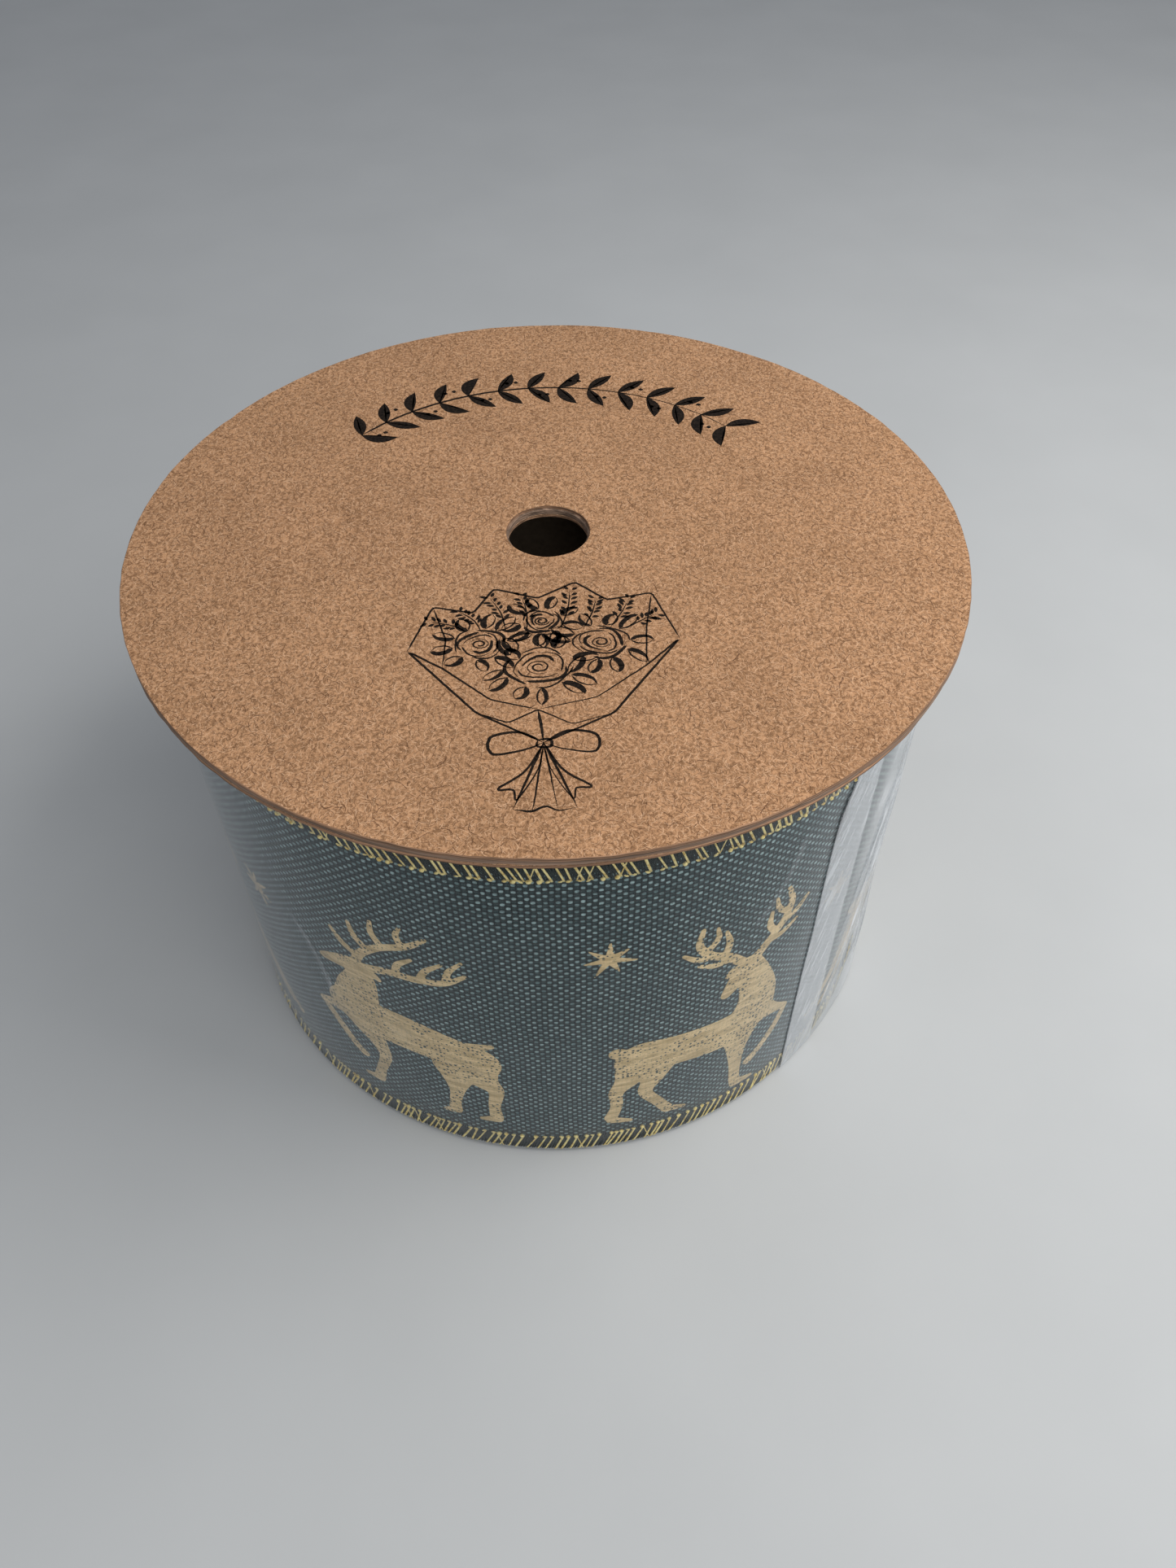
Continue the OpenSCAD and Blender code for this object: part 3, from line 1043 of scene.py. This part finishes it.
class Pen:
    """Draws strokes on the top disc. A stroke is (x, y) points with a half width that swells."""

    def __init__(self, seed):
        self.parts = Parts()
        self.rng = np.random.default_rng(seed)

    def ribbon(self, line, half):
        along = unit(np.gradient(line, axis=0))
        side = np.stack([-along[:, 1], along[:, 0]], axis=1) * half[:, None]
        left, right = line + side, line - side

        def at(flat, z):
            return np.column_stack([flat, np.full(len(flat), z)])

        low = PAPER_TOP - INK_T
        corners = [at(left, low), at(left, INK_TOP), at(right, INK_TOP), at(right, low)]
        self.parts.sweep(np.stack(corners, axis=1))

    def line(self, *points, width=0.2, straight=False):
        """A drawn line: a curve through the points, or straight legs with barely rounded corners."""
        curve = np.array(points, float)
        if straight:
            for _ in range(2):
                ends, kept = curve[:1], curve[-1:]
                legs = np.diff(curve, axis=0)
                near = np.minimum(0.2, 0.25 / np.linalg.norm(legs, axis=1, keepdims=True))
                cut = np.stack([curve[:-1] + legs * near, curve[1:] - legs * near], 1)
                curve = np.concatenate([ends, cut.reshape(-1, 2), kept])
            curve = even_line(curve, 0.4)
        else:
            curve = smooth_line(curve, 8)
        curve = curve + self.rng.normal(0, 0.012, curve.shape)
        share = np.linspace(0, 1, len(curve))
        swell = 0.75 + 0.35 * np.sin(share * math.pi * self.rng.uniform(0.8, 1.6) + 0.3)
        tip = np.clip(np.minimum(share, 1 - share) * len(curve) / 3, 0.25, 1)
        self.ribbon(curve, width / 2 * swell * tip)

    def blob(self, x, y, angle, length, width):
        """A filled leaf or petal, pointed at both ends."""
        share = np.linspace(0, 1, 9)
        way = polar(1, angle)
        bend = np.array([-way[1], way[0]]) * self.rng.normal(0, 0.08) * length
        line = np.array([x, y]) + share[:, None] * length * way
        line = line + np.sin(share * math.pi)[:, None] * bend
        self.ribbon(line, width / 2 * np.clip(np.sin(share * math.pi) ** 0.8, 0.06, 1))

    def leaf(self, x, y, angle, length, width, heavy=0.34):
        """An open leaf, drawn as two bowed lines, one of them heavy."""
        way = polar(1, angle)
        out = np.array([-way[1], way[0]])
        foot = np.array([x, y])
        tip = foot + way * length
        for side, line_width in ((1, heavy), (-1, 0.18)):
            belly = foot + way * length * 0.55 + out * side * width / 2
            self.line(foot, (foot + belly) / 2 + out * side * width * 0.16, belly,
                      (tip + belly) / 2 + out * side * width * 0.16, tip, width=line_width)

    def sprig(self, *points, pairs=6, size=0.9):
        """A thin stem with small filled leaves in pairs."""
        self.line(*points, width=0.16)
        stem = smooth_line(points, 12)
        for number in range(pairs):
            place = int((0.35 + 0.65 * number / (pairs - 1)) * (len(stem) - 1))
            way = stem[min(place + 1, len(stem) - 1)] - stem[max(place - 1, 0)]
            angle = math.atan2(way[1], way[0])
            for side in (1, -1):
                spread = side * self.rng.uniform(0.6, 1.1)
                x, y = stem[place] + polar(0.25, angle + spread)
                self.blob(x, y, angle + spread, size * self.rng.uniform(0.7, 1.1), 0.4)

    def rose(self, x, y, size, turn=0.0):
        """A spiral heart in overlapping petals."""
        share = np.linspace(0, 1, 14)
        heart = 0.12 * size + 0.3 * size * share
        spin = turn + share * TAU * 1.8
        self.line(*zip(x + heart * np.cos(spin), y + 0.8 * heart * np.sin(spin)), width=0.2)
        for number, (reach, start, sweep) in enumerate(
            ((0.55, 0.2, 2.6), (0.62, 3.0, 2.4), (0.78, 1.4, 2.2), (0.84, 3.9, 2.1), (0.8, 5.6, 2.0),
             (1.0, 0.4, 1.5), (1.02, 2.4, 1.6), (1.05, 4.3, 1.7))
        ):
            share = np.linspace(0, 1, 6)
            spin = turn + start + share * sweep
            wide = size * (reach + 0.07 * np.sin(share * math.pi * 2 + number))
            self.line(*zip(x + wide * np.cos(spin), y + 0.85 * wide * np.sin(spin)),
                      width=0.2 + 0.16 * (number % 3 == 0))


def draw_garland(pen):
    """A vine along the far side of the disc, with leaves in pairs and berries between them."""
    middle, first, last = 31.4, math.radians(138), math.radians(42)
    angles = np.linspace(first, last, 14)
    pen.line(*[polar(middle, angle) for angle in angles], width=0.34)
    for number, angle in enumerate(angles):
        foot = polar(middle, angle)
        for side in (1, -1):
            lean = angle - math.pi / 2 + side * math.radians(56)
            pen.blob(*foot, lean, 4.6, 1.6)
            pen.line(foot, foot + polar(4.9, lean), width=0.2)
        if number < len(angles) - 1:
            between = (angle + angles[number + 1]) / 2
            reach = middle + (1.7 if number % 2 else -1.7)
            for turn in (-0.018, 0.018):
                x, y = polar(reach, between + turn)
                pen.blob(x - 0.3, y, 0.0, 0.62, 0.6)


# The bouquet's roses, as (x, y, size, turn)
ROSES = [
    (-1.4, -23.2, 3.3, 0.3), (-7.6, -19.4, 2.6, 4.0), (5.2, -19.6, 2.8, 2.0), (-1.0, -16.0, 2.1, 1.2),
]


def draw_leaves(pen):
    """A fan of open leaves round each rose."""
    for x, y, size, turn in ROSES:
        count = round(6 + 1.5 * size)
        for number in range(count):
            angle = turn + TAU * number / count + pen.rng.normal(0, 0.12)
            foot = polar(size * 1.12, angle) * (1, 0.85)
            pen.leaf(x + foot[0], y + foot[1], angle + pen.rng.normal(0, 0.3),
                     pen.rng.uniform(2.0, 3.2), pen.rng.uniform(0.9, 1.3), pen.rng.uniform(0.42, 0.66))


def draw_bouquet(pen):
    """Roses and leaves in a cone of folded paper, tied with a bow, on the near side of the disc."""
    knot = (-1.1, -34.0)
    outline = dict(straight=True, width=0.25)
    fold = dict(straight=True, width=0.18)
    pen.line((-15.2, -20.2), (-12.8, -13.2), (-8.4, -14.4), (-6.2, -10.4), (-1.4, -12.2), (2.8, -9.6),
             (6.2, -12.8), (11.2, -11.8), (13.6, -19.4), **outline)
    pen.line(knot, (-7.8, -29.6), (-15.2, -20.2), (-11.4, -23.0), (-6.4, -27.8), (-1.6, -29.4),
             **outline)
    pen.line(knot, (6.0, -30.2), (13.6, -19.4), (9.8, -23.4), (4.4, -27.9), (-1.6, -29.4), **outline)
    pen.line((-12.8, -13.2), (-11.2, -18.6), (-11.4, -23.0), **fold)
    pen.line((11.2, -11.8), (10.2, -17.6), (9.8, -23.4), **fold)
    pen.line((-7.8, -29.6), (-4.6, -31.2), (-1.6, -29.4), (1.8, -31.6), (6.0, -30.2), **fold)
    pen.line((-1.6, -29.4), (-1.3, -31.8), knot, width=0.3)
    for rose in ROSES:
        pen.rose(*rose)
    draw_leaves(pen)
    for foot_x, tip_x, tip_y in ((-8.8, -13.2, -15.6), (-7.4, -9.8, -14.2), (-4.8, -6.6, -12.0),
                                 (-2.6, -3.2, -11.8), (1.0, 2.2, -11.0), (3.4, 5.0, -12.6),
                                 (6.2, 8.6, -12.8), (8.0, 11.4, -15.4)):
        middle = ((foot_x + tip_x) / 2 + 0.3, (tip_y - 17.0) / 2)
        pen.sprig((foot_x, -17.6), middle, (tip_x, tip_y), pairs=6)
    for flip in (1, -1):
        x, y = knot
        pen.line(knot, (x - 2.4 * flip, y + 1.5), (x - 5.2 * flip, y + 0.9), (x - 5.0 * flip, y - 1.3),
                 (x - 2.0 * flip, y - 0.9), knot, width=0.3)
        pen.line(knot, (x - 1.8 * flip, y - 3.6), (x - 4.4 * flip, y - 5.8), (x - 3.0 * flip, y - 6.0),
                 (x - 2.6 * flip, y - 7.2), (x - 0.6 * flip, y - 3.4), knot, width=0.24)
        pen.line(knot, (x - 3.0 * flip, y - 8.4), **outline)
        pen.line(knot, (x - 1.2 * flip, y - 8.8), **fold)
    pen.line((-4.1, -42.4), (-2.3, -42.8), (-1.1, -42.0), (0.1, -42.8), (1.9, -42.4), **outline)
    pen.line((-1.7, -33.6), (-0.5, -33.6), (-0.4, -34.5), (-1.7, -34.5), (-1.7, -33.6), width=0.3)


def disc_print(material):
    """All the drawing on the top disc."""
    pen = Pen(8)
    draw_garland(pen)
    draw_bouquet(pen)
    return add_mesh("disc_print", pen.parts, material, "spool", smooth=False)


# ---------------------------------------------------------------- floor, light and camera


def add_floor():
    """A wide plain floor under the spool."""
    half = 4000 * MM
    mesh = bpy.data.meshes.new("floor")
    mesh.from_pydata([(-half, -half, 0), (half, -half, 0), (half, half, 0), (-half, half, 0)], [],
                     [(0, 1, 2, 3)])
    mesh.materials.append(floor_paint())
    to_scene("floor", mesh)


def add_area_light(name, at, towards, size, watts, colour):
    """A soft square light."""
    data = bpy.data.lights.new(name, "AREA")
    data.shape = "SQUARE"
    data.size = size * MM
    data.energy = watts
    data.color = colour
    light = to_scene(name, data)
    light.location = Vector(at) * MM
    light.rotation_mode = "QUATERNION"
    light.rotation_quaternion = ((Vector(towards) - Vector(at)) * MM).to_track_quat("-Z", "Y")
    return light


def add_lights():
    world = bpy.data.worlds.new("studio")
    world.use_nodes = True
    background = world.node_tree.nodes["Background"]
    background.inputs["Color"].default_value = (0.88, 0.92, 1.0, 1)
    background.inputs["Strength"].default_value = 0.32
    bpy.context.scene.world = world
    add_area_light("key", (250, -20, 340), (220, -10, 0), 260, 1.08, (1.0, 0.98, 0.95))
    fill = add_area_light("fill", (150, -340, 440), (20, -20, 40), 420, 1.35, (1.0, 0.99, 0.97))
    fill.visible_glossy = False
    bpy.context.scene.view_settings.view_transform = "Standard"


# Camera's place in mm; its turn to the right of +Y, its tilt up from level and its roll, in degrees;
# and its lens
CAMERA_AT = (0.0, -113.2, COVER_TOP + 83.9)
CAMERA_TURN, CAMERA_TILT, CAMERA_ROLL = 2.32, -48.71, -0.19
CAMERA_LENS = 27.1


def add_camera():
    data = bpy.data.cameras.new("camera")
    data.sensor_width = 36
    data.lens = CAMERA_LENS
    data.clip_start = 0.01
    camera = to_scene("camera", data)
    turn = Matrix.Rotation(-math.radians(CAMERA_TURN), 4, "Z")
    tilt = Matrix.Rotation(math.radians(90 + CAMERA_TILT), 4, "X")
    roll = Matrix.Rotation(math.radians(CAMERA_ROLL), 4, "Z")
    camera.matrix_world = Matrix.Translation(Vector(CAMERA_AT) * MM) @ turn @ tilt @ roll
    bpy.context.scene.camera = camera


# ---------------------------------------------------------------- the spool


def make_discs():
    face, edge = kraft("kraft_face"), ply_edge("kraft_edge", (0.3, 0.17, 0.1), 2.0)
    board_edge = ply_edge("board_edge", (0.25, 0.165, 0.115), 7.0)
    back = kraft("kraft_back", (0.42, 0.24, 0.13), seed=11.0)
    ply("cover_ply", "top_cover_disc", COVER_LOW, PAPER_TOP, COVER_HOLE_R, DISC_R, face, edge, 50)
    ply("board_ply", "top_board_disc", BOARD_LOW, BOARD_TOP, HOLE_R, DISC_R - 0.06, board_edge,
        board_edge, 60)
    ply("liner_ply", "top_liner_disc", LINER_LOW, LINER_TOP, HOLE_R, DISC_R - 0.02, back, edge, 70)
    ply("base_ply", "base_disc", BASE_LOW, BASE_TOP, HOLE_R, BASE_R, back, edge, 80)
    disc_print(print_ink())


def make_ribbon():
    thread, gold = dark_thread(), gold_yarn()
    web = strip("web", web_profile(), ribbon_cloth(), "ribbon_web",
                lambda z: z - WEB_LOW)
    for side, node in ((1, "top_edge_stitching"), (-1, "bottom_edge_stitching")):
        strip(edge_name(side), edge_profile(side), edge_band(), node,
                  lambda z, side=side: side * (z - web_end(side)))
        dark_stitches(side, thread)
        gold_stitches(side, gold)
    ribbon_print(foil_print())
    WEB_H * MM
    length_back(TURNS) * MM


def finish_cad_nodes():
    """Materials for the CAD pieces that keep their own shape."""
    looks = {
        "core_tube": (tube_paper(), "tube_paper"),
        "top_glue_ring": (glue(), "glue"),
        "base_glue_ring": (glue(), "glue"),
        "top_edge_wire": (bare_wire(), "edge_wire"),
        "bottom_edge_wire": (bare_wire(), "edge_wire"),
    }
    for node, (material, slot) in looks.items():
        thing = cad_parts[node]
        thing.data.materials.clear()
        thing.data.materials.append(material)


add_camera()
add_lights()
add_floor()
make_discs()
make_ribbon()
film_band(clear_film())
finish_cad_nodes()
